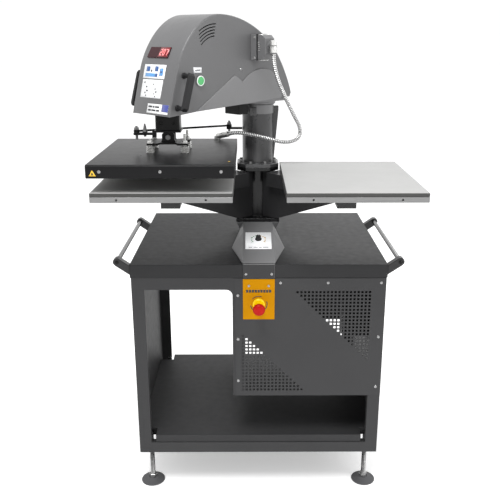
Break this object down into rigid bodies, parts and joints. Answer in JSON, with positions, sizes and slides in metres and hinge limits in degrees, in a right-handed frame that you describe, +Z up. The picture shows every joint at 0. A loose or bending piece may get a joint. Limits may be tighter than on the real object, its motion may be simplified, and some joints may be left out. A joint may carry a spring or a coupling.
{
  "type": "twin-station swing-head heat press",
  "caption": "Swing-head pneumatic heat press with two fixed lower plates either side of a column, on a sheet-metal cabinet stand with levelling feet.",
  "frame": {"origin": "on the floor under the middle of the object's outline, between the levelling feet", "axes": "+X to the operator's right, +Y away from the operator, +Z up"},
  "size_m": [0.956, 0.8156, 1.541],
  "materials": {
    "cabinet_paint": "dark grey powder coat",
    "head_paint": "mid grey powder coat",
    "arm_paint": "light grey powder coat",
    "black_paint": "near-black satin paint",
    "black_steel": "blackened steel",
    "bright_steel": "zinc-plated and ground steel",
    "handle_tube": "polished steel tube",
    "aluminium": "machined aluminium",
    "silicone": "pale grey silicone sponge",
    "braid": "braided steel sleeve",
    "black_plastic": "moulded black plastic",
    "die_cast": "grey painted die-cast housing",
    "estop_yellow": "orange-yellow enamel",
    "collar_yellow": "yellow plastic",
    "button_red": "red plastic",
    "button_green": "green plastic",
    "display": "dark red window"
  },
  "bodies": {
    "stand": {"front_frame": "cabinet_paint", "side_panel_left": "cabinet_paint", "side_panel_right": "cabinet_paint", "top_tray": "cabinet_paint", "storage_shelf": "cabinet_paint", "equipment_enclosure": "cabinet_paint", "front_panel": "cabinet_paint", "electrical_box": "black_paint", "air_compressor": "black_paint", "side_handle_left": "handle_tube", "side_handle_right": "handle_tube", "handle_bracket_front_left": "black_paint", "handle_bracket_rear_left": "black_paint", "handle_bracket_front_right": "black_paint", "handle_bracket_rear_right": "black_paint", "control_hood": "cabinet_paint", "estop_plate": "estop_yellow", "estop_collar": "collar_yellow", "pedestal_base": "cabinet_paint", "pedestal": "black_paint", "swing_column": "black_paint", "link_anchor": "black_steel", "station_arm_left": "black_paint", "station_arm_right": "black_paint", "lower_plate_left": "aluminium", "lower_plate_right": "aluminium", "silicone_pad_left": "silicone", "silicone_pad_right": "silicone"},
    "head": {"swing_hub": "black_steel", "head_arm": "arm_paint", "head_cover": "head_paint", "display_window": "display", "front_handle_near": "black_plastic", "front_handle_far": "black_plastic", "connector_base": "die_cast", "connector_hood": "die_cast", "air_cylinder": "aluminium", "power_hose": "braid"},
    "collar": {"collar_block": "black_steel", "collar_arm": "black_steel"},
    "press": {"ram": "bright_steel", "press_yoke": "black_steel", "pivot_bolt": "bright_steel", "spider_plate": "black_steel", "spring_bolt_front_left": "bright_steel", "spring_bolt_front_right": "bright_steel", "spring_bolt_rear_left": "bright_steel", "spring_bolt_rear_right": "bright_steel", "platen_cover": "black_paint", "heating_plate": "aluminium", "hose_gland": "bright_steel"},
    "link": {"link_rod": "black_steel"},
    "start_near": {"start_button_near": "button_green"},
    "start_far": {"start_button_far": "button_green"},
    "estop": {"estop_button": "button_red"},
    "knob": {"pressure_knob": "black_plastic"},
    "foot_front_left": {"levelling_foot_front_left": "bright_steel"},
    "foot_front_right": {"levelling_foot_front_right": "bright_steel"},
    "foot_rear_left": {"levelling_foot_rear_left": "bright_steel"},
    "foot_rear_right": {"levelling_foot_rear_right": "bright_steel"}
  },
  "joints": [
    {"name": "head_swing", "type": "hinge", "parent": "stand", "child": "head", "pos_m": [0, 0.1255, 1.2], "axis": [0, 0, 1], "range_deg": [0, 90], "deforming": ["power_hose"]},
    {"name": "collar_yaw", "type": "hinge", "parent": "head", "child": "collar", "pos_m": [-0.2755, -0.15, 1.23], "axis": [0, 0, 1], "range_deg": [-90, 0], "deforming": ["power_hose"]},
    {"name": "press_stroke", "type": "slide", "parent": "collar", "child": "press", "axis": [0, 0, -1], "range_m": [0, 0.0415], "stiffness_N_per_m": 3500, "springref_m": -0.12, "deforming": ["power_hose"]},
    {"name": "link_swing", "type": "hinge", "parent": "stand", "child": "link", "pos_m": [-0.0986, 0.1255, 1.182], "axis": [0, 0, 1], "range_deg": [0, 90]},
    {"name": "start_near_press", "type": "slide", "parent": "head", "child": "start_near", "axis": [-0.7071, 0.7071, 0], "range_m": [0, 0.003], "stiffness_N_per_m": 600, "springref_m": -0.003},
    {"name": "start_far_press", "type": "slide", "parent": "head", "child": "start_far", "axis": [0.7071, -0.7071, 0], "range_m": [0, 0.003], "stiffness_N_per_m": 600, "springref_m": -0.003},
    {"name": "estop_press", "type": "slide", "parent": "stand", "child": "estop", "axis": [0, 1, 0], "range_m": [0, 0.006], "stiffness_N_per_m": 1500, "springref_m": -0.004},
    {"name": "pressure_turn", "type": "hinge", "parent": "stand", "child": "knob", "pos_m": [0, -0.122, 0.8444], "axis": [0, -0.2957, 0.9553], "range_deg": [-135, 135]},
    {"name": "foot_front_left_height", "type": "slide", "parent": "stand", "child": "foot_front_left", "axis": [0, 0, 1], "range_m": [-0.03, 0]},
    {"name": "foot_front_right_height", "type": "slide", "parent": "stand", "child": "foot_front_right", "axis": [0, 0, 1], "range_m": [-0.03, 0]},
    {"name": "foot_rear_left_height", "type": "slide", "parent": "stand", "child": "foot_rear_left", "axis": [0, 0, 1], "range_m": [-0.03, 0]},
    {"name": "foot_rear_right_height", "type": "slide", "parent": "stand", "child": "foot_rear_right", "axis": [0, 0, 1], "range_m": [-0.03, 0]}
  ],
  "couplings": [
    {"joint": "collar_yaw", "follows": "head_swing", "ratio": -1},
    {"joint": "link_swing", "follows": "head_swing", "ratio": 1}
  ]
}
